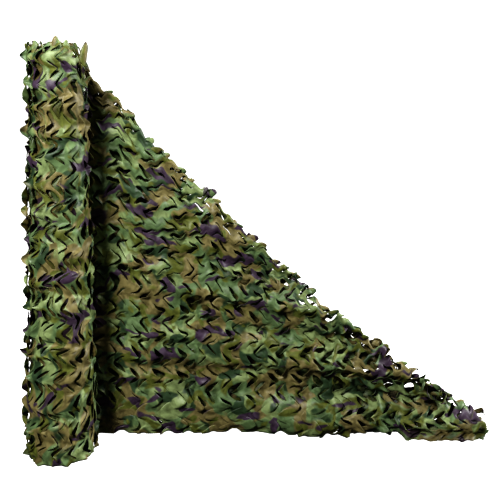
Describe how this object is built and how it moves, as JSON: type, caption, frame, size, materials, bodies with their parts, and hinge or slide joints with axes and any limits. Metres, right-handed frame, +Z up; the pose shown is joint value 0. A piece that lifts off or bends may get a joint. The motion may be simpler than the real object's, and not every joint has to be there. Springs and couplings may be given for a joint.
{
  "type": "camouflage net",
  "caption": "Leaf-cut camouflage net rolled up and stood on end, its loose end drawn out of the roll's back and folded over a slanting upper edge.",
  "frame": {"origin": "centre of the roll's flat base, on the floor", "axes": "+Z up along the roll, +X along the loose end, away from the roll, +Y towards the back, where the loose end leaves the roll"},
  "size_m": [1.7519, 0.3571, 1.5114],
  "materials": {
    "printed_net": "thin woven polyester, matt to slightly satin, printed in woodland greens, tan and dark brown, olive on its back"
  },
  "bodies": {
    "root": {"net_roll": "printed_net", "net_flap": "printed_net"}
  },
  "joints": []
}
